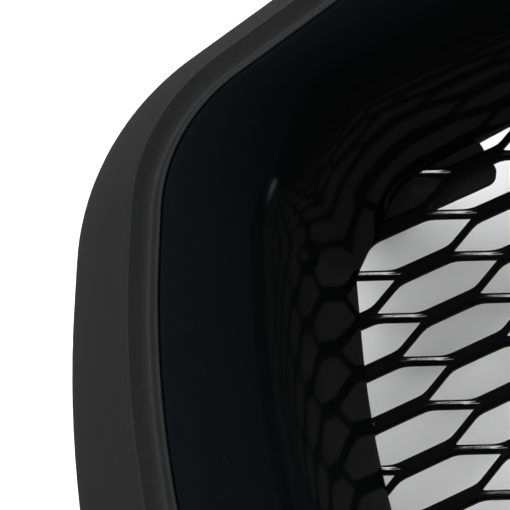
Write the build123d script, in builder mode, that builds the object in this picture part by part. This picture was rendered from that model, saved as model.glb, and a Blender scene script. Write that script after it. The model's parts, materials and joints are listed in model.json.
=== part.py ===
"""Vehicle grille with a honeycomb insert, lying on its mounting feet.

X runs across the grille, Y points to the grille's upper edge, Z is its front.
The origin is on the resting plane, below the middle of the outline.
"""
import math
import os

from build123d import *

os.makedirs("parts", exist_ok=True)

# ---------------------------------------------------------------- heights
mesh_rear_z = 50.0  # resting plane to the rear of the honeycomb
mesh_thickness = 2.5
funnel_depth = 60.0  # front of the honeycomb to the front lip
rim_depth = 32.0  # front lip to the rear edge of the bezel

# ---------------------------------------------------------------- honeycomb
cell_pitch_x = 28.0
cell_pitch_y = 14.84
cell_slant = 15.4  # sideways run of one slanted bar
cell_phase_y = 0.8  # middle of a cell in the centre column, next to the origin
bond_width = 4.3  # level bars
strand_width = 1.8  # slanted bars
cell_overrun = 8.0  # openings run this far under the funnel's edge
smallest_opening = 60.0  # mm2, smaller slivers stay closed

# ---------------------------------------------------------------- outlines
# Corners of the left half, from the top middle round to the bottom: x, y, radius.
lip_corners = [
    (0, 174.6, 930),
    (-269.3, 108.5, 55),
    (-288, 93.9, 55),
    (-340, -3.7, 340),
    (-340, -116, 50),
    (-300, -156, 50),
]
throat_corners = [
    (0, 110.5, 2400),
    (-217.6, 93.4, 30),
    (-243, 72, 10),
    (-277.7, -8, 320),
    (-277.7, -82, 14),
    (-262, -97, 14),
]

# ---------------------------------------------------------------- walls and fits
wall = 2.5
flare_along = 0.44  # where the funnel's slope changes, from throat to lip
flare_up = 0.66
lip_width = 1.8
groove_width = 5.2
groove_depth = 1.6
crest_width = 1.0
rim_spread = 24.0  # lip edge to the outermost edge, level
crest_drop = 3.0  # rounding of the crest
seat_width = 1.2  # surround's seat under the bezel's lip
flange_line = 12.0  # surround's rear flange, out from the lip
slip = 0.4  # gap between the bezel and the surround
edge_gap = 0.5  # gap between the bezel's rear edge and the rails
clamp_width = 34.0  # width of the clamped border round the honeycomb
screw_line = 26.0  # mesh screws, out from the throat
skirt_line = -1.0  # surround's skirt, out from the lip
bezel_screw_line = 4.4  # bezel screws, out from the lip
boss_radius = 2.8
screw_radius = 1.5
pilot_radius = 1.55
screw_clearance = 0.3
screw_head_radius = 3.0
screw_head_height = 2.0
screw_grip = 4.5

# ---------------------------------------------------------------- brackets
foot_spacing_x = 430.0
foot_spacing_y = 284.0
foot_middle_y = 0.0
foot_hole_radius = 3.3
foot_size = 26.0
tab_width = 50.0
tab_reach = 11.0  # bare end of the tab inside the throat
tab_corner = 4.0
bracket_sheet = 2.0
bracket_screw_spread = 30.0

# ---------------------------------------------------------------- rails and rivets
rail_thickness = 2.5
rail_inner_line = 0.0
upper_rail_length = 340.0
upper_rail_width = 52.0
lower_rail_length = 300.0
lower_rail_width = 40.0
rail_screw_x = 75.0
rail_screw_x_outer = 145.0
rivet_x_inner = 50.0
rivet_x_outer = 130.0
rivet_line = 34.0
rivet_shank_radius = 4.0
rivet_shank_length = 14.0
rivet_head_radius = 8.0
rivet_head_height = 1.8
pin_radius = 2.0
pin_fit = 0.08
pin_length = 12.0
pin_head_radius = 4.5
pin_head_height = 1.6
peg_radius = 4.0
peg_length = 14.0
peg_root = 10.0  # block that carries the peg, under the rail's edge
peg_x = 110.0
foam_width = 7.0
foam_height = 7.0
foam_inset = 1.5
foam_end = 10.0
trim_height = 4.0
trim_top_y = 60.0
trim_bottom_y = -100.0
clip_width = 14.0
clip_sheet = 0.8
clip_reach = 8.0

# ---------------------------------------------------------------- derived levels
mesh_front_z = mesh_rear_z + mesh_thickness
throat_z = mesh_front_z + wall
lip_z = mesh_front_z + funnel_depth
rim_z = lip_z - rim_depth
frame_rear_z = mesh_rear_z - wall
seat_z = lip_z - wall  # underside of the bezel's roof
skirt_rear_z = rim_z + 2 * wall
rail_front_z = rim_z - edge_gap
rail_rear_z = rail_front_z - rail_thickness
crest_line = lip_width + groove_width + crest_width


# ---------------------------------------------------------------- shared shapes
def grown(corners, distance):
    """Closed outline through mirrored corners, moved outwards by a distance."""
    left = [Vector(x, y) for x, y, _ in corners]
    right = [Vector(-p.X, p.Y) for p in left[:0:-1]]
    ring = left + right
    radii = [r + distance for _, _, r in corners]
    points = []
    for i, corner in enumerate(ring):
        before = (corner - ring[i - 1]).normalized()
        after = (ring[(i + 1) % len(ring)] - corner).normalized()
        normal_a = Vector(-before.Y, before.X) * -1
        normal_b = Vector(-after.Y, after.X) * -1
        shift = (normal_a + normal_b) * (distance / (1 + normal_a.dot(normal_b)))
        points.append(corner + shift)
    return points, radii + radii[:0:-1]


def outline(z, corners, distance=0.0):
    """Face of one outline at height z."""
    points, radii = grown(corners, distance)
    with BuildSketch(Plane.XY.offset(z)) as sketch:
        with BuildLine():
            FilletPolyline(*points, radius=radii, close=True)
        make_face()
    return sketch.sketch.face()


def slab(z_low, z_high, corners, distance=0.0):
    """Upright plate with one outline."""
    with BuildPart() as plate:
        extrude(outline(z_low, corners, distance), amount=z_high - z_low)
    return plate.part


def tapered(*faces):
    """Solid with flat sides between outlines, lowest first."""
    with BuildPart() as block:
        loft(list(faces), ruled=True)
    return block.part


def band(z_low, z_high, corners, inner, outer):
    """Ring between two distances from one outline."""
    with BuildPart() as ring:
        add(slab(z_low, z_high, corners, outer))
        add(slab(z_low, z_high, corners, inner), mode=Mode.SUBTRACT)
    return ring.part


def edge_points(corners, distance, stations):
    """Points on a grown outline: ("top", x), ("bottom", x), ("left", y) or ("right", y)."""
    edge = outline(0, corners, distance).outer_wire()
    samples = [edge.position_at(i / 1500) for i in range(1500)]
    found = []
    for side, value in stations:
        if side in ("top", "bottom"):
            facing = [p for p in samples if (p.Y > 0) == (side == "top")]
            near = min(facing, key=lambda p: abs(p.X + abs(value)))
            found.append((math.copysign(near.X, value) if value else 0.0, near.Y))
        else:
            facing = [p for p in samples if p.X < -200]
            near = min(facing, key=lambda p: abs(p.Y - value))
            found.append((near.X if side == "left" else -near.X, near.Y))
    return found


def posts(points, radius, z_low, z_high):
    """Upright round posts at some points."""
    with BuildPart() as group:
        with BuildSketch(Plane.XY.offset(z_low)):
            with Locations(*points):
                Circle(radius)
        extrude(amount=z_high - z_low)
    return group.part


def screw_group(points, seat, tip_z):
    """Pan-head screws driven from the rear, heads below the seat."""
    with BuildPart() as group:
        add(posts(points, screw_radius, seat, tip_z))
        add(posts(points, screw_head_radius, seat - screw_head_height, seat))
        rims = group.edges().filter_by(GeomType.CIRCLE).group_by(Axis.Z)[0]
        fillet(rims, screw_head_height * 0.5)
        with BuildSketch(Plane.XY.offset(seat - screw_head_height)):
            with Locations(*points):
                RegularPolygon(screw_radius, 6)
        extrude(amount=screw_head_height * 0.5, mode=Mode.SUBTRACT)
    return group.part


def save(piece, name):
    piece.label = name
    export_step(piece, f"parts/{name}.step")


# ---------------------------------------------------------------- screw places
mesh_screw_stations = [("top", x) for x in (-160, -80, 80, 160)]
mesh_screw_stations += [("bottom", x) for x in (-170, -60, 60, 170)]
mesh_screw_stations += [(side, y) for side in ("left", "right") for y in (35, -30)]
mesh_screw_points = edge_points(throat_corners, screw_line, mesh_screw_stations)

rail_stations = [rail_screw_x_outer, rail_screw_x]
upper_rail_points = edge_points(
    lip_corners, bezel_screw_line, [("top", s * x) for s in (-1, 1) for x in rail_stations]
)
lower_rail_points = edge_points(
    lip_corners, bezel_screw_line, [("bottom", s * x) for s in (-1, 1) for x in rail_stations]
)
bezel_screw_stations = [("top", x) for x in (-225, 225)]
bezel_screw_stations += [("bottom", x) for x in (-230, 230)]
bezel_screw_stations += [(side, y) for side in ("left", "right") for y in (40, -90)]
bezel_screw_points = edge_points(lip_corners, bezel_screw_line, bezel_screw_stations)
bezel_boss_points = bezel_screw_points + upper_rail_points + lower_rail_points

foot_corners = [
    (sx * foot_spacing_x / 2, foot_middle_y + sy * foot_spacing_y / 2)
    for sx in (-1, 1)
    for sy in (1, -1)
]
throat_top_y = throat_corners[1][1] + 2.1  # throat's upper edge above the upper brackets
throat_bottom_y = throat_corners[-1][1]
tab_inner_y = {1: throat_top_y - tab_reach, -1: throat_bottom_y + tab_reach}
tab_screw_y = {1: throat_top_y + clamp_width / 2, -1: throat_bottom_y - clamp_width / 2}
bracket_screw_points = [
    (sx * foot_spacing_x / 2 + dx, tab_screw_y[sy])
    for sx in (-1, 1)
    for sy in (1, -1)
    for dx in (-bracket_screw_spread / 2, bracket_screw_spread / 2)
]

# ---------------------------------------------------------------- outer bezel
crest_face_low = outline(lip_z - crest_drop, lip_corners, crest_line + 0.7 * crest_drop)
crest_face = outline(lip_z, lip_corners, crest_line)
rim_face = outline(rim_z, lip_corners, rim_spread)
bezel_block = tapered(rim_face, crest_face_low, crest_face)
bezel_cavity = tapered(
    outline(rim_z, lip_corners, rim_spread - wall),
    outline(seat_z, lip_corners, crest_line - wall / 5),
)
groove_low = lip_z - groove_depth
groove_slope = groove_depth * 0.8
with BuildPart() as groove:
    add(
        tapered(
            outline(groove_low, lip_corners, lip_width + groove_width - groove_slope),
            outline(lip_z, lip_corners, lip_width + groove_width),
        )
    )
    add(
        tapered(
            outline(groove_low, lip_corners, lip_width + groove_slope),
            outline(lip_z, lip_corners, lip_width),
        ),
        mode=Mode.SUBTRACT,
    )

boss_rear_z = skirt_rear_z + wall
pilot_top_z = boss_rear_z + screw_grip + 1
with BuildPart() as bezel_bosses:
    add(posts(bezel_boss_points, boss_radius, boss_rear_z, seat_z))
    add(posts(bezel_boss_points, pilot_radius, boss_rear_z, pilot_top_z), mode=Mode.SUBTRACT)
    add(bezel_block, mode=Mode.INTERSECT)

with BuildPart() as outer_bezel:
    add(bezel_block)
    add(bezel_cavity, mode=Mode.SUBTRACT)
    add(slab(rim_z, lip_z, lip_corners, slip), mode=Mode.SUBTRACT)
    add(groove.part, mode=Mode.SUBTRACT)
    add(bezel_bosses.part)
save(outer_bezel.part, "outer_bezel")

# ---------------------------------------------------------------- gloss surround
throat_share = 1 - flare_along
flare_corners = [
    (
        throat_share * x_in + flare_along * x_out,
        throat_share * y_in + flare_along * y_out,
        1 / (throat_share / r_in + flare_along / r_out),
    )
    for (x_in, y_in, r_in), (x_out, y_out, r_out) in zip(throat_corners, lip_corners)
]
flare_z = throat_z + (lip_z - throat_z) * flare_up
funnel_void = tapered(
    outline(throat_z, throat_corners),
    outline(flare_z, flare_corners),
    outline(lip_z, lip_corners),
)
funnel_block = tapered(
    outline(throat_z - wall, throat_corners, wall),
    outline(flare_z - wall, flare_corners, wall / 2),
    outline(seat_z, lip_corners),
)
with BuildPart() as gloss_surround:
    add(funnel_block)
    add(slab(seat_z, lip_z, lip_corners))
    add(funnel_void, mode=Mode.SUBTRACT)
    add(slab(mesh_front_z, throat_z, throat_corners), mode=Mode.SUBTRACT)
    add(band(mesh_front_z, throat_z, throat_corners, 0, clamp_width))
    add(posts(mesh_screw_points, boss_radius, mesh_front_z, throat_z + screw_grip))
    add(band(seat_z - wall, seat_z, lip_corners, -wall * 1.2, seat_width))
    add(band(skirt_rear_z, seat_z, lip_corners, skirt_line - wall, skirt_line))
    add(band(skirt_rear_z, skirt_rear_z + wall, lip_corners, skirt_line - wall, flange_line))
    add(
        posts(mesh_screw_points, pilot_radius, mesh_front_z, throat_z + screw_grip - 1),
        mode=Mode.SUBTRACT,
    )
    add(
        posts(
            bezel_boss_points,
            screw_radius + screw_clearance,
            skirt_rear_z,
            skirt_rear_z + wall,
        ),
        mode=Mode.SUBTRACT,
    )
save(gloss_surround.part, "gloss_surround")

# ---------------------------------------------------------------- honeycomb insert
half_level = (cell_pitch_x - cell_slant) / 2
slope_run = cell_slant / (cell_pitch_y / 2)
strand_offset = strand_width / 2 * math.hypot(1, slope_run)
opening_half_height = (cell_pitch_y - bond_width) / 2
opening_tip = half_level + cell_slant - strand_offset
opening_shoulder = opening_tip - opening_half_height * slope_run
with BuildSketch() as opening:
    Polygon(
        (opening_tip, 0),
        (opening_shoulder, opening_half_height),
        (-opening_shoulder, opening_half_height),
        (-opening_tip, 0),
        (-opening_shoulder, -opening_half_height),
        (opening_shoulder, -opening_half_height),
    )

throat_half_width = -min(x for x, _, _ in throat_corners)
column_reach = math.ceil((throat_half_width + cell_overrun) / cell_pitch_x) + 1
row_reach = math.ceil((throat_corners[0][1] + cell_overrun) / cell_pitch_y) + 1
cell_centres = [
    (column * cell_pitch_x, cell_phase_y + (row + 0.5 * (column % 2)) * cell_pitch_y)
    for column in range(-column_reach, column_reach + 1)
    for row in range(-row_reach - 1, row_reach + 1)
]
cell_limit = outline(0, throat_corners, cell_overrun)
opening_walls = []
for centre in cell_centres:
    cell = opening.sketch.face().moved(Location(centre))
    inside = [cell_limit.is_inside(vertex.center()) for vertex in cell.vertices()]
    if all(inside):
        opening_walls.append(cell.outer_wire())
    elif any(inside):
        with BuildSketch() as cut_opening:
            add(cell)
            add(cell_limit, mode=Mode.INTERSECT)
        kept = [face for face in cut_opening.faces() if face.area > smallest_opening]
        opening_walls += [face.outer_wire() for face in kept]
border = outline(0, throat_corners, clamp_width - 0.5).outer_wire()

for x, y in mesh_screw_points + bracket_screw_points:
    opening_walls.append(Wire.make_circle(screw_radius + screw_clearance, Plane((x, y, 0))))
with BuildPart() as honeycomb_insert:
    with BuildSketch(Plane.XY.offset(mesh_rear_z)):
        add(Face(border, opening_walls))
    extrude(amount=mesh_thickness, clean=False)
save(honeycomb_insert.part, "honeycomb_insert")

# ---------------------------------------------------------------- clamp frame
clip_stations = [("top", x) for x in (-120, 0, 120)] + [("bottom", x) for x in (-115, 0, 115)]
clip_points = edge_points(throat_corners, clamp_width, clip_stations)
with BuildPart() as clamp_frame:
    add(band(frame_rear_z, mesh_rear_z, throat_corners, 1.5, clamp_width))
    add(band(frame_rear_z - 6, frame_rear_z, throat_corners, clamp_width - wall, clamp_width))
    for x, y in foot_corners:
        side = 1 if y > foot_middle_y else -1
        with Locations((x, tab_screw_y[side] + side * clamp_width / 2, frame_rear_z - 3)):
            Box(tab_width + 2, clamp_width, 6, mode=Mode.SUBTRACT)
    with Locations(*[(x, y, frame_rear_z - 3) for x, y in clip_points]):
        Box(clip_width + 1, 3 * clip_reach, 6, mode=Mode.SUBTRACT)
    add(
        posts(
            mesh_screw_points + bracket_screw_points,
            screw_radius + screw_clearance,
            frame_rear_z,
            mesh_rear_z,
        ),
        mode=Mode.SUBTRACT,
    )
save(clamp_frame.part, "clamp_frame")

# ---------------------------------------------------------------- corner brackets
bracket_names = ["upper_left", "lower_left", "upper_right", "lower_right"]
for name, (x, y) in zip(bracket_names, foot_corners):
    side = 1 if y > foot_middle_y else -1
    leg_y = tab_screw_y[side] + side * (clamp_width / 2 + bracket_sheet)
    foot_end_y = y + side * foot_size / 2
    tab_top = frame_rear_z
    with BuildPart() as bracket:
        with BuildSketch(Plane.XY.offset(tab_top - bracket_sheet)):
            with BuildLine():
                FilletPolyline(
                    (x - tab_width / 2, leg_y),
                    (x - tab_width / 2, tab_inner_y[side]),
                    (x + tab_width / 2, tab_inner_y[side]),
                    (x + tab_width / 2, leg_y),
                    radius=tab_corner,
                )
                Line((x + tab_width / 2, leg_y), (x - tab_width / 2, leg_y))
            make_face()
        extrude(amount=bracket_sheet)
        with Locations((x, leg_y - side * bracket_sheet / 2, tab_top / 2)):
            Box(tab_width * 0.6, bracket_sheet, tab_top)
        with Locations((x, (leg_y + foot_end_y) / 2, bracket_sheet / 2)):
            Box(tab_width * 0.6, abs(foot_end_y - leg_y), bracket_sheet)
        with Locations((x, y, 0)):
            Cylinder(
                foot_hole_radius,
                4 * bracket_sheet,
                mode=Mode.SUBTRACT,
            )
        screw_places = [(x + s * bracket_screw_spread / 2, tab_screw_y[side]) for s in (-1, 1)]
        add(
            posts(screw_places, screw_radius + screw_clearance, tab_top - bracket_sheet, tab_top),
            mode=Mode.SUBTRACT,
        )
    save(bracket.part, f"bracket_{name}")

# ---------------------------------------------------------------- rails
def rail(side, length, width, screw_points, hole_points, peg_points):
    """Flat rail that follows the lip, with stand-offs under the surround's skirt."""
    with BuildPart() as plate:
        add(band(rail_rear_z, rail_front_z, lip_corners, rail_inner_line, rail_inner_line + width))
        with Locations((0, side * 250, rail_rear_z + rail_thickness / 2)):
            Box(length, 500, 4 * rail_thickness, mode=Mode.INTERSECT)
        add(posts(screw_points, boss_radius + 1, rail_front_z, skirt_rear_z))
        for x, y in peg_points:
            base = Plane((x, y, rail_front_z - peg_radius), z_dir=(0, side, 0))
            with BuildSketch(base):
                Circle(peg_radius)
            extrude(amount=peg_length)
            with Locations((x, y - side * peg_root / 2, rail_front_z - peg_radius)):
                Box(2 * peg_radius + wall, peg_root, 2 * peg_radius)
        add(
            posts(screw_points, screw_radius + screw_clearance, rail_rear_z, skirt_rear_z),
            mode=Mode.SUBTRACT,
        )
        if hole_points:
            add(
                posts(hole_points, rivet_shank_radius + slip / 4, rail_rear_z, rail_front_z),
                mode=Mode.SUBTRACT,
            )
    return plate.part


rivet_stations = [("top", x) for x in (-rivet_x_outer, -rivet_x_inner, rivet_x_inner, rivet_x_outer)]
rivet_points = edge_points(lip_corners, rivet_line, rivet_stations)
peg_edge = edge_points(lip_corners, rail_inner_line + lower_rail_width, [("bottom", -peg_x)])
peg_points = [(s * peg_x, peg_edge[0][1]) for s in (-1, 1)]
save(
    rail(1, upper_rail_length, upper_rail_width, upper_rail_points, rivet_points, []),
    "upper_rail",
)
save(
    rail(-1, lower_rail_length, lower_rail_width, lower_rail_points, [], peg_points),
    "lower_rail",
)

# ---------------------------------------------------------------- screws
mesh_screw_tip = throat_z + screw_grip - 1.5
save(screw_group(mesh_screw_points, frame_rear_z, mesh_screw_tip), "mesh_screws")
save(
    screw_group(bracket_screw_points, frame_rear_z - bracket_sheet, mesh_front_z),
    "bracket_screws",
)
bezel_screw_tip = pilot_top_z - 0.5
save(screw_group(bezel_screw_points, skirt_rear_z, bezel_screw_tip), "bezel_screws")
save(screw_group(upper_rail_points, rail_rear_z, bezel_screw_tip), "upper_rail_screws")
save(screw_group(lower_rail_points, rail_rear_z, bezel_screw_tip), "lower_rail_screws")

# ---------------------------------------------------------------- push rivets
head_top_z = rail_front_z + rivet_head_height
with BuildPart() as rivet_sleeves:
    add(posts(rivet_points, rivet_shank_radius, head_top_z - rivet_shank_length, head_top_z))
    add(posts(rivet_points, rivet_head_radius, rail_front_z, head_top_z))
    ends = rivet_sleeves.edges().filter_by(GeomType.CIRCLE).group_by(Axis.Z)[0]
    chamfer(ends, 1.0)
    add(
        posts(rivet_points, pin_radius + pin_fit, head_top_z - pin_length, head_top_z),
        mode=Mode.SUBTRACT,
    )
save(rivet_sleeves.part, "rivet_sleeves")

for number, point in enumerate(rivet_points, start=1):
    with BuildPart() as rivet_pin:
        add(posts([point], pin_radius, head_top_z - pin_length + 0.5, head_top_z))
        add(posts([point], pin_head_radius, head_top_z, head_top_z + pin_head_height))
        rim = rivet_pin.edges().filter_by(GeomType.CIRCLE).group_by(Axis.Z)[-1]
        fillet(rim, 0.8)
    save(rivet_pin.part, f"rivet_pin_{number}")

# ---------------------------------------------------------------- foam and edge trim
def foam_strip(side, length, line):
    """Soft strip stuck along a rail."""
    with BuildPart() as strip:
        add(
            band(
                rail_front_z,
                rail_front_z + foam_height,
                lip_corners,
                line,
                line + foam_width,
            )
        )
        with Locations((0, side * 250, rail_front_z)):
            Box(length, 500, 4 * foam_height, mode=Mode.INTERSECT)
    return strip.part


upper_foam_line = rail_inner_line + upper_rail_width - foam_width - foam_inset
lower_foam_line = rail_inner_line + lower_rail_width - foam_width - foam_inset
save(foam_strip(1, upper_rail_length - 2 * foam_end, upper_foam_line), "upper_foam_seal")
save(foam_strip(-1, lower_rail_length - 2 * foam_end, lower_foam_line), "lower_foam_seal")

for name, side in (("left", -1), ("right", 1)):
    with BuildPart() as edge_trim:
        add(band(rim_z - trim_height, rim_z, lip_corners, rim_spread - wall, rim_spread))
        with Locations((side * 300, (trim_top_y + trim_bottom_y) / 2, rim_z)):
            Box(300, trim_top_y - trim_bottom_y, 4 * trim_height, mode=Mode.INTERSECT)
    save(edge_trim.part, f"edge_trim_{name}")

# ---------------------------------------------------------------- spring clips
with BuildPart() as spring_clips:
    for x, y in clip_points:
        side = 1 if y > 0 else -1
        z_middle = (frame_rear_z + throat_z) / 2
        stack = throat_z - frame_rear_z
        with Locations((x, y - side * (clip_reach / 2 - 0.5), z_middle)):
            Box(clip_width, clip_reach + 1 + 2 * clip_sheet, stack + 2 * clip_sheet)
    add(slab(frame_rear_z, throat_z, throat_corners, clamp_width), mode=Mode.SUBTRACT)
save(spring_clips.part, "spring_clips")
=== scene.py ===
"""Black vehicle grille: looks, stage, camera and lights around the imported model."""
import json
import math

import bpy
from mathutils import Matrix, Vector


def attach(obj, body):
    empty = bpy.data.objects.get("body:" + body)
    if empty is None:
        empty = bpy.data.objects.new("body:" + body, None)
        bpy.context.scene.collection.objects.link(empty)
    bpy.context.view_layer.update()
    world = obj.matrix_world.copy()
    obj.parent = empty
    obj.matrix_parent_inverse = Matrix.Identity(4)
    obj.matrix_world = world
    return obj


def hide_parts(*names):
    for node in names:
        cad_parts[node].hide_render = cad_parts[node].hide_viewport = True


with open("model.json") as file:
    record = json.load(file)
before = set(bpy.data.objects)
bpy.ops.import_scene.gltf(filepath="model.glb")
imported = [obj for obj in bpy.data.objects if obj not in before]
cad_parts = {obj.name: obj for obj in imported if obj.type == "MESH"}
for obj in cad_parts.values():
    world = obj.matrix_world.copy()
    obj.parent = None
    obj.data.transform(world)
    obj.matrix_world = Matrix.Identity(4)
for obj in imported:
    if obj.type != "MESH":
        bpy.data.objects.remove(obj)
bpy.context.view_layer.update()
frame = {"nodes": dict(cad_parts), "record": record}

MM = 0.001

# ---------------------------------------------------------------- sizes, millimetres
mesh_rear_z = 50.0
mesh_front_z = 52.5
throat_z = 55.0
lip_z = 112.5
seat_z = 110.0
rim_z = 80.5
skirt_rear_z = 85.5
wall = 2.5

# Corners of the left half, from the top middle round to the bottom: x, y, radius.
lip_corners = [
    (0, 174.6, 930),
    (-269.3, 108.5, 55),
    (-288, 93.9, 55),
    (-340, -3.7, 340),
    (-340, -116, 50),
    (-300, -156, 50),
]
throat_corners = [
    (0, 110.5, 2400),
    (-217.6, 93.4, 30),
    (-243, 72, 10),
    (-277.7, -8, 320),
    (-277.7, -82, 14),
    (-262, -97, 14),
]
corner_swell = [0.0, 12.0, 20.0, 0.0, 0.0, 0.0]  # extra corner radius, half way up the wall
swell_power = 0.7
rim_spread = 24.0
crest_spread = 10.1
crest_drop = 3.0
slip = 0.4
clamp_width = 34.0

cell_pitch_x = 28.0
cell_pitch_y = 14.84
cell_slant = 15.4
cell_phase_y = 0.8
bond_width = 4.3
strand_width = 1.8

# ---------------------------------------------------------------- outlines
arc_steps = [48, 14, 10, 26, 10, 10]  # along each corner's arc
line_steps = 5
shell_smooth_angle = 38
sheet_smooth_angle = 50


def mixed(share):
    """Corners part of the way from the throat to the lip."""
    ring = []
    rise = math.sin(math.pi * min(1.0, max(0.0, share))) ** swell_power
    for inner, outer, swell in zip(throat_corners, lip_corners, corner_swell):
        x, y, radius = [(1 - share) * a + share * b for a, b in zip(inner, outer)]
        radius += rise * swell
        if inner[0] == 0:
            radius = 1 / ((1 - share) / inner[2] + share / outer[2])
        ring.append((x, y, radius))
    return ring


def outline(corners, distance=0.0, steps=None):
    """Points of a closed outline, moved outwards by a distance, anticlockwise from the top."""
    steps = steps or arc_steps
    left = [Vector((x, y)) for x, y, _ in corners]
    ring = left + [Vector((-p.x, p.y)) for p in left[:0:-1]]
    own = [r + distance for _, _, r in corners]
    rounds = own + own[:0:-1]
    counts = list(steps) + list(steps)[:0:-1]
    grown = []
    for i, corner in enumerate(ring):
        before = (corner - ring[i - 1]).normalized()
        after = (ring[(i + 1) % len(ring)] - corner).normalized()
        normal_a = Vector((before.y, -before.x))
        normal_b = Vector((after.y, -after.x))
        grown.append(corner + (normal_a + normal_b) * (distance / (1 + normal_a.dot(normal_b))))
    arcs = []
    for i, corner in enumerate(grown):
        back = (grown[i - 1] - corner).normalized()
        ahead = (grown[(i + 1) % len(grown)] - corner).normalized()
        half = back.angle(ahead) / 2
        start = corner + back * (rounds[i] / math.tan(half))
        centre = corner + (back + ahead).normalized() * (rounds[i] / math.sin(half))
        turn = math.pi - 2 * half
        arm = start - centre
        count = counts[i]
        arcs.append([centre + Matrix.Rotation(turn * k / count, 2) @ arm for k in range(count + 1)])
    points = []
    for i, arc in enumerate(arcs):
        points += arc
        following = arcs[(i + 1) % len(arcs)][0]
        points += [arc[-1].lerp(following, k / line_steps) for k in range(1, line_steps)]
    return points


def swept_shell(name, loops, closed=True):
    """Closed shell through loops of equal count; each loop is a list of 3-D points in mm."""
    count = len(loops[0])
    verts = [tuple(c * MM for c in p) for loop in loops for p in loop]
    faces = []
    rows = len(loops) if closed else len(loops) - 1
    for row in range(rows):
        following = (row + 1) % len(loops)
        for i in range(count):
            j = (i + 1) % count
            faces.append(
                (row * count + i, row * count + j, following * count + j, following * count + i)
            )
    mesh = bpy.data.meshes.new(name)
    mesh.from_pydata(verts, [], faces)
    piece = bpy.data.objects.new(name, mesh)
    bpy.context.scene.collection.objects.link(piece)
    only(piece)
    bpy.ops.object.mode_set(mode="EDIT")
    bpy.ops.mesh.select_all(action="SELECT")
    bpy.ops.mesh.normals_make_consistent(inside=False)
    bpy.ops.object.mode_set(mode="OBJECT")
    bpy.ops.object.shade_smooth_by_angle(angle=math.radians(shell_smooth_angle))
    return piece


def only(piece):
    """Selects one object and makes it active."""
    bpy.ops.object.select_all(action="DESELECT")
    piece.select_set(True)
    bpy.context.view_layer.objects.active = piece


def raised(points, z):
    """Flat points lifted to one height."""
    return [(p.x, p.y, z) for p in points]


# ---------------------------------------------------------------- material helpers
def new_group(name, inputs, outputs):
    """Node group with float inputs {name: default} and outputs {name: socket type}."""
    group = bpy.data.node_groups.new(name, "ShaderNodeTree")
    for label, value in inputs.items():
        socket = group.interface.new_socket(
            name=label, in_out="INPUT", socket_type="NodeSocketFloat"
        )
        socket.default_value = value
    for label, kind in outputs.items():
        group.interface.new_socket(name=label, in_out="OUTPUT", socket_type=kind)
    enter = group.nodes.new("NodeGroupInput")
    leave = group.nodes.new("NodeGroupOutput")
    return group, enter, leave


def add_node(tree, kind, **values):
    """Node with settings: attributes by name, sockets as s_NAME."""
    node = tree.nodes.new(kind)
    for key, value in values.items():
        if key.startswith("s_"):
            node.inputs[key[2:].replace("_", " ")].default_value = value
        else:
            setattr(node, key, value)
    return node


def grain_group():
    """Fine moulded grain: a height and a roughness that wander together."""
    group, enter, leave = new_group(
        "moulded_grain",
        {"Scale": 1800.0, "Rough": 0.4, "Spread": 0.08},
        {"Height": "NodeSocketFloat", "Roughness": "NodeSocketFloat"},
    )
    place = add_node(group, "ShaderNodeTexCoord")
    fine = add_node(group, "ShaderNodeTexNoise", s_Detail=3.0, s_Roughness=0.6)
    broad = add_node(group, "ShaderNodeTexNoise", s_Scale=24.0, s_Detail=4.0)
    link = group.links.new
    link(place.outputs["Object"], fine.inputs["Vector"])
    link(place.outputs["Object"], broad.inputs["Vector"])
    link(enter.outputs["Scale"], fine.inputs["Scale"])
    centred = add_node(group, "ShaderNodeMath", operation="SUBTRACT")
    centred.inputs[1].default_value = 0.5
    link(broad.outputs["Fac"], centred.inputs[0])
    spread = add_node(group, "ShaderNodeMath", operation="MULTIPLY_ADD")
    link(centred.outputs[0], spread.inputs[0])
    link(enter.outputs["Spread"], spread.inputs[1])
    link(enter.outputs["Rough"], spread.inputs[2])
    link(fine.outputs["Fac"], leave.inputs["Height"])
    link(spread.outputs[0], leave.inputs["Roughness"])
    return group


def dust_group():
    """Light dust that gathers in specks; puts out a mask."""
    group, enter, leave = new_group(
        "settled_dust", {"Amount": 0.1, "Scale": 260.0}, {"Mask": "NodeSocketFloat"}
    )
    place = add_node(group, "ShaderNodeTexCoord")
    specks = add_node(group, "ShaderNodeTexNoise", s_Detail=6.0, s_Roughness=0.75)
    clouds = add_node(group, "ShaderNodeTexNoise", s_Scale=9.0, s_Detail=2.0)
    link = group.links.new
    link(place.outputs["Object"], specks.inputs["Vector"])
    link(place.outputs["Object"], clouds.inputs["Vector"])
    link(enter.outputs["Scale"], specks.inputs["Scale"])
    cut = add_node(group, "ShaderNodeMapRange")
    cut.inputs["From Min"].default_value = 0.56
    cut.inputs["From Max"].default_value = 0.72
    link(specks.outputs["Fac"], cut.inputs["Value"])
    patch = add_node(group, "ShaderNodeMath", operation="MULTIPLY")
    link(cut.outputs[0], patch.inputs[0])
    link(clouds.outputs["Fac"], patch.inputs[1])
    scaled = add_node(group, "ShaderNodeMath", operation="MULTIPLY")
    link(patch.outputs[0], scaled.inputs[0])
    link(enter.outputs["Amount"], scaled.inputs[1])
    link(scaled.outputs[0], leave.inputs["Mask"])
    return group


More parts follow.
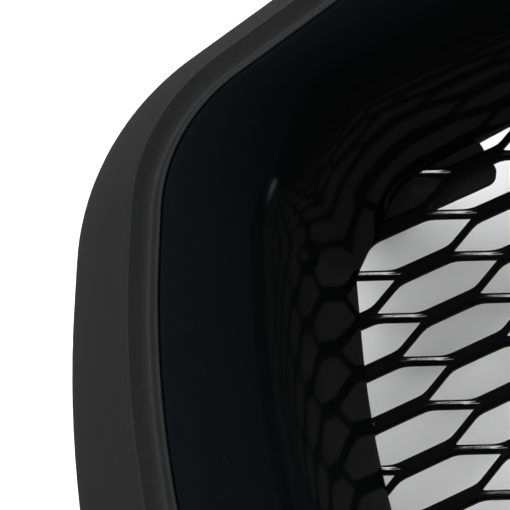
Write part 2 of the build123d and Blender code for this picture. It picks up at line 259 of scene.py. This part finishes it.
def wear_group():
    """Paler colour on raised edges; puts out a mask from the surface's pointiness."""
    group, enter, leave = new_group("edge_wear", {"Amount": 0.3}, {"Mask": "NodeSocketFloat"})
    shape = add_node(group, "ShaderNodeNewGeometry")
    place = add_node(group, "ShaderNodeTexCoord")
    patches = add_node(group, "ShaderNodeTexNoise", s_Scale=140.0, s_Detail=5.0)
    link = group.links.new
    link(place.outputs["Object"], patches.inputs["Vector"])
    edge = add_node(group, "ShaderNodeMapRange")
    edge.inputs["From Min"].default_value = 0.52
    edge.inputs["From Max"].default_value = 0.66
    link(shape.outputs["Pointiness"], edge.inputs["Value"])
    broken = add_node(group, "ShaderNodeMath", operation="MULTIPLY")
    link(edge.outputs[0], broken.inputs[0])
    link(patches.outputs["Fac"], broken.inputs[1])
    scaled = add_node(group, "ShaderNodeMath", operation="MULTIPLY")
    link(broken.outputs[0], scaled.inputs[0])
    link(enter.outputs["Amount"], scaled.inputs[1])
    link(scaled.outputs[0], leave.inputs["Mask"])
    return group


grain = grain_group()
dust = dust_group()
wear = wear_group()


dust_colour = (0.25, 0.25, 0.26)
dust_dulling = 0.5


def finish(name, colour, rough, spread, grain_scale, grain_depth, dusty, worn,
           worn_colour=(0.12, 0.12, 0.12), metallic=0.0):
    """Principled finish that shares the grain, dust and wear groups."""
    material = bpy.data.materials.new(name)
    material.use_nodes = True
    tree = material.node_tree
    shader = tree.nodes["Principled BSDF"]
    shader.inputs["Metallic"].default_value = metallic
    link = tree.links.new
    g = add_node(tree, "ShaderNodeGroup", node_tree=grain, s_Scale=grain_scale, s_Rough=rough,
                 s_Spread=spread)
    d = add_node(tree, "ShaderNodeGroup", node_tree=dust, s_Amount=dusty)
    w = add_node(tree, "ShaderNodeGroup", node_tree=wear, s_Amount=worn)
    worn_mix = add_node(tree, "ShaderNodeMix", data_type="RGBA")
    worn_mix.inputs[6].default_value = (*colour, 1)
    worn_mix.inputs[7].default_value = (*worn_colour, 1)
    link(w.outputs["Mask"], worn_mix.inputs[0])
    dust_mix = add_node(tree, "ShaderNodeMix", data_type="RGBA")
    dust_mix.inputs[7].default_value = (*dust_colour, 1)
    link(worn_mix.outputs[2], dust_mix.inputs[6])
    link(d.outputs["Mask"], dust_mix.inputs[0])
    link(dust_mix.outputs[2], shader.inputs["Base Color"])
    duller = add_node(tree, "ShaderNodeMath", operation="MULTIPLY_ADD", use_clamp=True)
    duller.inputs[1].default_value = dust_dulling
    link(d.outputs["Mask"], duller.inputs[0])
    link(g.outputs["Roughness"], duller.inputs[2])
    link(duller.outputs[0], shader.inputs["Roughness"])
    bump = add_node(tree, "ShaderNodeBump", s_Distance=grain_depth)
    bump.inputs["Strength"].default_value = 1.0
    link(g.outputs["Height"], bump.inputs["Height"])
    link(bump.outputs["Normal"], shader.inputs["Normal"])
    return material


satin = finish("satin_black", (0.0115, 0.0117, 0.0122), 0.46, 0.08, 2600.0, 0.00002, 0.04, 0.0)
gloss = finish("piano_black", (0.0030, 0.0034, 0.0038), 0.085, 0.04, 55.0, 0.00002, 0.008, 0.0)
coated = finish("coated_mesh", (0.0018, 0.0018, 0.002), 0.16, 0.12, 1500.0, 0.00003, 0.02, 0.0)
moulded = finish("moulded_black", (0.018, 0.018, 0.019), 0.55, 0.12, 1500.0, 0.00003, 0.12, 0.15)
steel_coat = finish("coated_steel", (0.008, 0.008, 0.0085), 0.42, 0.12, 2200.0, 0.00002, 0.05, 0.06)
zinc = finish("zinc_black", (0.10, 0.10, 0.105), 0.34, 0.12, 3000.0, 0.000006, 0.05, 0.8,
              worn_colour=(0.5, 0.5, 0.5), metallic=1.0)
spring = finish("spring_steel", (0.42, 0.42, 0.43), 0.28, 0.15, 3500.0, 0.000004, 0.04, 0.6,
                worn_colour=(0.7, 0.7, 0.7), metallic=1.0)
nylon = finish("nylon_black", (0.02, 0.02, 0.021), 0.46, 0.10, 1300.0, 0.00002, 0.08, 0.2)
foam = finish("foam", (0.028, 0.028, 0.029), 0.92, 0.05, 900.0, 0.00035, 0.12, 0.1)
rubber = finish("edge_rubber", (0.014, 0.014, 0.014), 0.62, 0.10, 1400.0, 0.00003, 0.15, 0.1)

finishes = {
    "moulded_black": moulded,
    "coated_steel": steel_coat,
    "zinc_black": zinc,
    "spring_steel": spring,
    "nylon_black": nylon,
    "foam": foam,
    "edge_rubber": rubber,
    "satin_black": satin,
    "piano_black": gloss,
    "coated_mesh": coated,
}


def dress(piece, material):
    """Gives a piece its one material."""
    piece.data.materials.clear()
    piece.data.materials.append(material)


for entry in frame["record"]["subparts"]:
    node = frame["nodes"][entry["node"]]
    dress(node, finishes[entry["material_slot"]])

# ---------------------------------------------------------------- outer bezel
roof_profile = [
    (slip, seat_z - lip_z),
    (slip, -0.45),
    (0.55, -0.12),
    (0.95, 0.0),
    (1.35, -0.12),
    (1.8, -0.75),
    (2.3, -1.5),
    (2.9, -1.85),
    (3.7, -1.8),
    (5.0, -1.35),
    (6.3, -0.8),
    (7.3, -0.3),
    (8.0, -0.02),
    (8.7, -0.3),
    (9.5, -1.4),
    (crest_spread, -crest_drop),
]
slope_steps = 12
slope_pull = (1.0, 0.45)  # where the slope's curve is pulled to, across and down


def make_bezel():
    """Satin rim: lip, groove, crest, bulged outer slope and the hollow behind them."""
    loops = [raised(outline(lip_corners, d), lip_z + z) for d, z in roof_profile]
    upper = outline(lip_corners, crest_spread)
    lower = outline(lip_corners, rim_spread)
    under = outline(lip_corners, rim_spread - wall)
    roof = outline(lip_corners, crest_spread - crest_drop)
    slope_top = lip_z - crest_drop
    for k in range(1, slope_steps + 1):
        t = k / slope_steps
        across = 2 * t * (1 - t) * slope_pull[0] + t * t
        down = 2 * t * (1 - t) * slope_pull[1] + t * t
        ring = [a.lerp(b, across) for a, b in zip(upper, lower)]
        loops.append(raised(ring, slope_top + (rim_z + 0.5 - slope_top) * down))
    middle = [a.lerp(b, 0.5) for a, b in zip(lower, under)]
    nearer = [a.lerp(b, 0.18) for a, b in zip(lower, under)]
    farther = [a.lerp(b, 0.82) for a, b in zip(lower, under)]
    loops.append(raised(nearer, rim_z + 0.1))
    loops.append(raised(middle, rim_z))
    loops.append(raised(farther, rim_z + 0.1))
    loops.append(raised(under, rim_z + 0.6))
    loops.append(raised(roof, seat_z))
    return swept_shell("bezel_rim", loops)


bezel = make_bezel()
dress(bezel, satin)
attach(bezel, "grille")
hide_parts("outer_bezel")

# ---------------------------------------------------------------- gloss surround
funnel_steps = 26
wall_pulls = [(0.30, 0.50), (0.55, 0.93)]  # where the wall's curve is pulled to, across and up


def funnel_curve(t):
    """Share of the way to the lip and height of the funnel's wall."""
    near, far, end = 3 * t * (1 - t) ** 2, 3 * t**2 * (1 - t), t**3
    share = near * wall_pulls[0][0] + far * wall_pulls[1][0] + end
    rise = near * wall_pulls[0][1] + far * wall_pulls[1][1] + end
    return share, throat_z + (lip_z - throat_z) * rise


def make_surround():
    """Curved funnel with its seat, skirt, rear flange and clamped border."""
    loops = [raised(outline(throat_corners), mesh_front_z)]
    loops.append(raised(outline(throat_corners), throat_z - 0.8))
    loops.append(raised(outline(throat_corners, 0.15), throat_z - 0.25))
    for k in range(1, funnel_steps):
        share, z = funnel_curve(k / funnel_steps)
        loops.append(raised(outline(mixed(share)), z))
    loops.append(raised(outline(lip_corners, -0.5), lip_z - 0.12))
    loops.append(raised(outline(lip_corners, -0.12), lip_z - 0.2))
    for distance, z in (
        (0.0, lip_z - 0.6),
        (0.0, seat_z),
        (1.2, seat_z),
        (1.2, seat_z - wall),
        (-1.0, seat_z - wall),
        (-1.0, skirt_rear_z + wall),
        (12.0, skirt_rear_z + wall),
        (12.0, skirt_rear_z),
        (-1.0 - wall, skirt_rear_z),
        (-1.0 - wall, seat_z - 2 * wall),
    ):
        loops.append(raised(outline(lip_corners, distance), z))
    for k in range(funnel_steps - 4, 2, -2):
        share, z = funnel_curve(k / funnel_steps)
        loops.append(raised(outline(mixed(share), wall * (1 - share)), z - wall))
    loops.append(raised(outline(throat_corners, wall), throat_z))
    loops.append(raised(outline(throat_corners, clamp_width), throat_z))
    loops.append(raised(outline(throat_corners, clamp_width), mesh_front_z))
    return swept_shell("funnel_surround", loops)


surround = make_surround()
dress(surround, gloss)
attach(surround, "grille")
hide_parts("gloss_surround")

# ---------------------------------------------------------------- honeycomb
edge_round = 0.35
strand_roll = 1.4  # level strands lean this far towards the grille's lower edge
strand_crown = 0.25  # and bow up in their middle
corner_reach = 1.6
field_margin = 8.5  # openings run this far under the funnel's edge
whole_margin = -15.5  # tiles centred inside this outline are never cut
reached_margin = 22.5  # tiles centred outside this one are left out
field_half_x = 300
field_half_y = 130
band_lap = 0.5  # the flat border starts this far inside the field and stops short of the clamp
double_gap = 0.00002
sliver_gap = 0.00001
field_steps = [24, 6, 4, 12, 4, 4]


def opening_ring(distance=0.0):
    """Opening's outline with cut corners and side middles, anticlockwise from the right tip."""
    half_level = (cell_pitch_x - cell_slant) / 2
    slope_run = cell_slant / (cell_pitch_y / 2)
    tip = half_level + cell_slant - (strand_width / 2 + distance) * math.hypot(1, slope_run)
    height = (cell_pitch_y - bond_width) / 2 - distance
    shoulder = tip - height * slope_run
    corners = [
        Vector((tip, 0)),
        Vector((shoulder, height)),
        Vector((-shoulder, height)),
        Vector((-tip, 0)),
        Vector((-shoulder, -height)),
        Vector((shoulder, -height)),
    ]
    return with_cut_corners(corners, corner_reach)


def tile_ring():
    """Centre lines of the bars round one opening, with as many points as its outline."""
    half_level = (cell_pitch_x - cell_slant) / 2
    reach = half_level + cell_slant
    half = cell_pitch_y / 2
    corners = [
        Vector((reach, 0)),
        Vector((half_level, half)),
        Vector((-half_level, half)),
        Vector((-reach, 0)),
        Vector((-half_level, -half)),
        Vector((half_level, -half)),
    ]
    return with_cut_corners(corners, 0.0)


def with_cut_corners(corners, reach):
    """Per corner: a point before it, itself drawn in, a point after it, then two side points."""
    points = []
    for i, corner in enumerate(corners):
        back = (corners[i - 1] - corner).normalized()
        following = corners[(i + 1) % len(corners)]
        ahead = (following - corner).normalized()
        start = corner + back * reach
        end = corner + ahead * reach
        points.append(start)
        points.append(start.lerp(end, 0.5).lerp(corner, 0.5))
        points.append(end)
        next_start = following + (corner - following).normalized() * reach
        points += [end.lerp(next_start, 1 / 3), end.lerp(next_start, 2 / 3)]
    return points


def lean(point):
    """Height change of a point on a bar: level strands roll and bow, the rest stay flat."""
    half_level = (cell_pitch_x - cell_slant) / 2
    along = (abs(point.x) - half_level) / cell_slant
    if point.x * point.y <= 0 or not 0 < along < 1:
        return 0.0
    bow = math.sin(math.pi * along)
    slope_run = cell_slant / (cell_pitch_y / 2)
    reach = half_level + cell_slant - abs(point.x) - abs(point.y) * slope_run
    offset = max(0.0, reach / math.hypot(1, slope_run)) / (strand_width / 2)
    side = -1 if point.x > 0 else 1
    roll = strand_roll * min(offset, 1.4) * side * 0.5
    return (roll - strand_roll * 0.5 + strand_crown) * min(1.0, 1.6 * bow)


def make_honeycomb():
    """Sheet of tiles, one round each opening, cut to the throat and set in a flat border."""
    border = tile_ring()
    edge = opening_ring()
    inner = opening_ring(-edge_round)
    middle = [a.lerp(b, 0.5) for a, b in zip(border, inner)]
    layers = [
        (border, [mesh_front_z + lean(p) for p in border]),
        (middle, [mesh_front_z + lean(p) for p in middle]),
        (inner, [mesh_front_z + lean(p) for p in inner]),
        (edge, [mesh_front_z + lean(p) - edge_round for p in edge]),
        (edge, [mesh_rear_z + edge_round + lean(p) * 0.5 for p in edge]),
        (inner, [mesh_rear_z for _ in inner]),
        (border, [mesh_rear_z for _ in border]),
    ]
    count = len(border)
    field = outline(throat_corners, field_margin, steps=field_steps)
    whole = outline(throat_corners, whole_margin, steps=field_steps)
    reached = outline(throat_corners, reached_margin, steps=field_steps)
    columns = math.ceil(field_half_x / cell_pitch_x)
    rows = math.ceil(field_half_y / cell_pitch_y)
    verts, faces = [], []
    for column in range(-columns, columns + 1):
        for row in range(-rows - 1, rows + 1):
            x0 = column * cell_pitch_x
            y0 = cell_phase_y + (row + 0.5 * (column % 2)) * cell_pitch_y
            centre = Vector((x0, y0))
            if not inside(centre, reached):
                continue
            cut = not inside(centre, whole)
            base = len(verts)
            for ring, heights in layers:
                places = [held(centre + p, field) if cut else centre + p for p in ring]
                verts += [(p.x * MM, p.y * MM, z * MM) for p, z in zip(places, heights)]
            for level in range(len(layers) - 1):
                for i in range(count):
                    j = (i + 1) % count
                    a = base + level * count
                    faces.append((a + i, a + count + i, a + count + j, a + j))
    mesh = bpy.data.meshes.new("honeycomb_sheet")
    mesh.from_pydata(verts, [], faces)
    sheet = bpy.data.objects.new("honeycomb_sheet", mesh)
    bpy.context.scene.collection.objects.link(sheet)
    only(sheet)
    bpy.ops.object.mode_set(mode="EDIT")
    bpy.ops.mesh.select_all(action="SELECT")
    bpy.ops.mesh.remove_doubles(threshold=double_gap)
    bpy.ops.mesh.dissolve_degenerate(threshold=sliver_gap)
    bpy.ops.mesh.normals_make_consistent(inside=False)
    bpy.ops.object.mode_set(mode="OBJECT")
    flat = [
        raised(outline(throat_corners, field_margin - band_lap), mesh_rear_z),
        raised(outline(throat_corners, field_margin - band_lap), mesh_front_z),
        raised(outline(throat_corners, clamp_width - band_lap), mesh_front_z),
        raised(outline(throat_corners, clamp_width - band_lap), mesh_rear_z),
    ]
    frame_band = swept_shell("honeycomb_border", flat)
    only(sheet)
    frame_band.select_set(True)
    bpy.ops.object.join()
    bpy.ops.object.shade_smooth_by_angle(angle=math.radians(sheet_smooth_angle))
    return sheet


def inside(point, polygon):
    """Whether a point is inside a polygon."""
    hit = False
    for i, a in enumerate(polygon):
        b = polygon[i - 1]
        if (a.y > point.y) != (b.y > point.y):
            if point.x < a.x + (b.x - a.x) * (point.y - a.y) / (b.y - a.y):
                hit = not hit
    return hit


def held(point, polygon):
    """The point itself, or the nearest one on the polygon's edge if it lies outside."""
    if inside(point, polygon):
        return point
    best = None
    for i, a in enumerate(polygon):
        b = polygon[i - 1]
        along = b - a
        if along.length < 1e-6:
            continue
        share = max(0.0, min(1.0, (point - a).dot(along) / along.dot(along)))
        near = a + along * share
        if best is None or (near - point).length < (best - point).length:
            best = near
    return best


honeycomb = make_honeycomb()
dress(honeycomb, coated)
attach(honeycomb, "grille")
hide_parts("honeycomb_insert")

# ---------------------------------------------------------------- foam seals and edge trims
rail_front_z = 80.0
foam_width = 7.0
foam_height = 7.0
foam_cuts = 40
foam_rounding = 1.4
foam_sink = 0.7  # the foam's top is this uneven
foam_wave = 0.21
upper_foam_length = 320.0
upper_foam_line = 43.5
lower_foam_length = 280.0
lower_foam_line = 31.5
trim_height = 4.0
trim_top_y = 60.0
trim_bottom_y = -100.0
trim_cuts = 32
bevel_segments = 3
bevel_angle = 40
trim_rounding = 0.9


def cut_bar(name, size, place, along, cuts, rounding):
    """Bar cut across into short lengths, with rounded edges; its length runs along x or y."""
    bpy.ops.object.select_all(action="DESELECT")
    bpy.ops.mesh.primitive_cube_add(size=1.0, location=[c * MM for c in place])
    bar = bpy.context.object
    bar.name = name
    bar.scale = [c * MM for c in size]
    bpy.ops.object.transform_apply(location=True, rotation=True, scale=True)
    bpy.ops.object.mode_set(mode="EDIT")
    axis = "xy".index(along)
    start = place[axis] - size[axis] / 2
    normal = [1.0 if k == axis else 0.0 for k in range(3)]
    for k in range(1, cuts):
        bpy.ops.mesh.select_all(action="SELECT")
        point = [(start + size[axis] * k / cuts) * MM * n for n in normal]
        bpy.ops.mesh.bisect(plane_co=point, plane_no=normal)
    bpy.ops.object.mode_set(mode="OBJECT")
    edges = bar.modifiers.new("rounded", "BEVEL")
    edges.width = rounding * MM
    edges.segments = bevel_segments
    edges.limit_method = "ANGLE"
    edges.angle_limit = math.radians(bevel_angle)
    bpy.ops.object.modifier_apply(modifier="rounded")
    return bar


def line_at(ring, axis, value, side):
    """The other coordinate of an outline where it crosses a value, on its chosen side."""
    found = []
    for i, a in enumerate(ring):
        b = ring[i - 1]
        if (a[axis] > value) != (b[axis] > value):
            share = (value - a[axis]) / (b[axis] - a[axis])
            found.append(a[1 - axis] + (b[1 - axis] - a[1 - axis]) * share)
    return max(found) if side > 0 else min(found)


def lay_along(bar, along, near, far, side, width):
    """Moves a bar's vertices across, so that it runs between two outlines."""
    axis = "xy".index(along)
    for vert in bar.data.vertices:
        place = vert.co[axis] / MM
        share = vert.co[1 - axis] / MM / width + 0.5
        a = line_at(near, axis, place, side)
        b = line_at(far, axis, place, side)
        vert.co[1 - axis] = (a + (b - a) * (share if side > 0 else 1 - share)) * MM


def make_foam(name, node, side, length, line):
    """Foam strip stuck on a rail's front face: crowned, a little uneven, rounded at its ends."""
    size = (length, foam_width, foam_height)
    place = (0, 0, rail_front_z + foam_height / 2)
    strip = cut_bar(name, size, place, "x", foam_cuts, foam_rounding)
    near = outline(lip_corners, line)
    far = outline(lip_corners, line + foam_width)
    lay_along(strip, "x", near, far, side, foam_width)
    for vert in strip.data.vertices:
        if vert.co.z > (rail_front_z + foam_height - 0.1) * MM:
            vert.co.z -= foam_sink * MM * (0.5 + 0.5 * math.sin(vert.co.x / MM * foam_wave))
    finish_soft(strip, node, "foam")


def make_trim(name, node, side):
    """Rubber bead under the rim's rear edge."""
    size = (wall, trim_top_y - trim_bottom_y, trim_height)
    place = (0, (trim_top_y + trim_bottom_y) / 2, rim_z - trim_height / 2)
    bead = cut_bar(name, size, place, "y", trim_cuts, trim_rounding)
    near = outline(lip_corners, rim_spread - wall)
    far = outline(lip_corners, rim_spread)
    lay_along(bead, "y", near, far, side, wall)
    finish_soft(bead, node, "edge_rubber")


def finish_soft(piece, node, finish_name):
    """Turns faces outwards, smooths and dresses a soft piece, and puts it in its node's place."""
    only(piece)
    bpy.ops.object.mode_set(mode="EDIT")
    bpy.ops.mesh.select_all(action="SELECT")
    bpy.ops.mesh.normals_make_consistent(inside=False)
    bpy.ops.object.mode_set(mode="OBJECT")
    bpy.ops.object.shade_smooth_by_angle(angle=math.radians(sheet_smooth_angle))
    dress(piece, finishes[finish_name])
    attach(piece, "grille")
    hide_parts(node)


make_foam("foam_strip_upper", "upper_foam_seal", 1, upper_foam_length, upper_foam_line)
make_foam("foam_strip_lower", "lower_foam_seal", -1, lower_foam_length, lower_foam_line)
make_trim("rubber_bead_left", "edge_trim_left", -1)
make_trim("rubber_bead_right", "edge_trim_right", 1)

# ---------------------------------------------------------------- stage
floor_size = 8.0
floor_to_camera = (0.86, 0.86, 0.865, 1)
# painted shade: the floor's colour for every ray but the camera's, standing in for the shaded floor
# under the grille
floor_painted_shade = (0.072, 0.069, 0.066, 1)


def make_floor():
    """Pale floor: white to the camera; dark to reflections and to light that bounces off the
    grille, a painted shade.
    """
    bpy.ops.object.select_all(action="DESELECT")
    bpy.ops.mesh.primitive_plane_add(size=floor_size, location=(0, 0, 0))
    floor = bpy.context.object
    floor.name = "pale_floor"
    material = bpy.data.materials.new("pale_floor")
    material.use_nodes = True
    shader = material.node_tree.nodes["Principled BSDF"]
    path = material.node_tree.nodes.new("ShaderNodeLightPath")
    shade = material.node_tree.nodes.new("ShaderNodeMix")
    shade.data_type = "RGBA"
    # painted shade: dark floor colour for reflections and bounced light, white only to the camera
    shade.inputs[6].default_value = floor_painted_shade
    shade.inputs[7].default_value = floor_to_camera
    material.node_tree.links.new(path.outputs["Is Camera Ray"], shade.inputs[0])
    material.node_tree.links.new(shade.outputs[2], shader.inputs["Base Color"])
    shader.inputs["Roughness"].default_value = 0.9
    shader.inputs["Specular IOR Level"].default_value = 0.1
    floor.data.materials.append(material)
    return floor


make_floor()

# ---------------------------------------------------------------- lights
def soft_box(name, place, aim, size, power, in_reflections=True):
    """Rectangular area light that faces its aim."""
    data = bpy.data.lights.new(name, "AREA")
    data.shape = "RECTANGLE"
    data.size, data.size_y = size
    data.energy = power
    light = bpy.data.objects.new(name, data)
    light.location = place
    light.rotation_euler = (Vector(aim) - Vector(place)).to_track_quat("-Z", "Y").to_euler()
    light.visible_glossy = in_reflections
    bpy.context.scene.collection.objects.link(light)
    return light


soft_box("sky_panel", (-0.2, 1.7, 1.7), (0, 0, 0), (2.6, 2.0), 135.0, in_reflections=False)
soft_box("left_panel", (-1.9, -0.3, 1.7), (-0.2, 0, 0.1), (1.0, 1.4), 17.0)
soft_box("strand_box", (-0.62, -0.78, 1.55), (-0.22, 0.05, 0.05), (0.3, 0.5), 9.0)
soft_box("back_strip", (0.5, 2.1, 0.75), (-0.2, 0.1, 0.05), (1.8, 0.3), 5.0)

world = bpy.data.worlds.new("studio")
world.use_nodes = True
world.node_tree.nodes["Background"].inputs["Color"].default_value = (0.9, 0.93, 1.0, 1)
world.node_tree.nodes["Background"].inputs["Strength"].default_value = 0.022
bpy.context.scene.world = world
bpy.context.scene.view_settings.view_transform = "Standard"

# ---------------------------------------------------------------- camera
camera_azimuth = math.radians(-25.24)
camera_elevation = math.radians(60.71)
camera_roll = math.radians(-1.84)
camera_distance = 0.7874
camera_lens = 201.5
camera_aim = Vector((-0.2643, 0.0914, mesh_front_z * MM))


def make_camera():
    """Camera over the upper left corner, looking down into the funnel."""
    backward = Vector((
        math.sin(camera_azimuth) * math.cos(camera_elevation),
        -math.cos(camera_azimuth) * math.cos(camera_elevation),
        math.sin(camera_elevation),
    ))
    level = Vector((math.cos(camera_azimuth), math.sin(camera_azimuth), 0))
    upward = backward.cross(level)
    right = level * math.cos(camera_roll) + upward * math.sin(camera_roll)
    upward = backward.cross(right)
    data = bpy.data.cameras.new("camera")
    data.lens = camera_lens
    data.sensor_width = 36.0
    data.clip_start = 0.01
    camera = bpy.data.objects.new("camera", data)
    axes = Matrix((right, upward, backward)).transposed()
    place = Matrix.Translation(camera_aim + backward * camera_distance)
    camera.matrix_world = place @ axes.to_4x4()
    bpy.context.scene.collection.objects.link(camera)
    bpy.context.scene.camera = camera


make_camera()
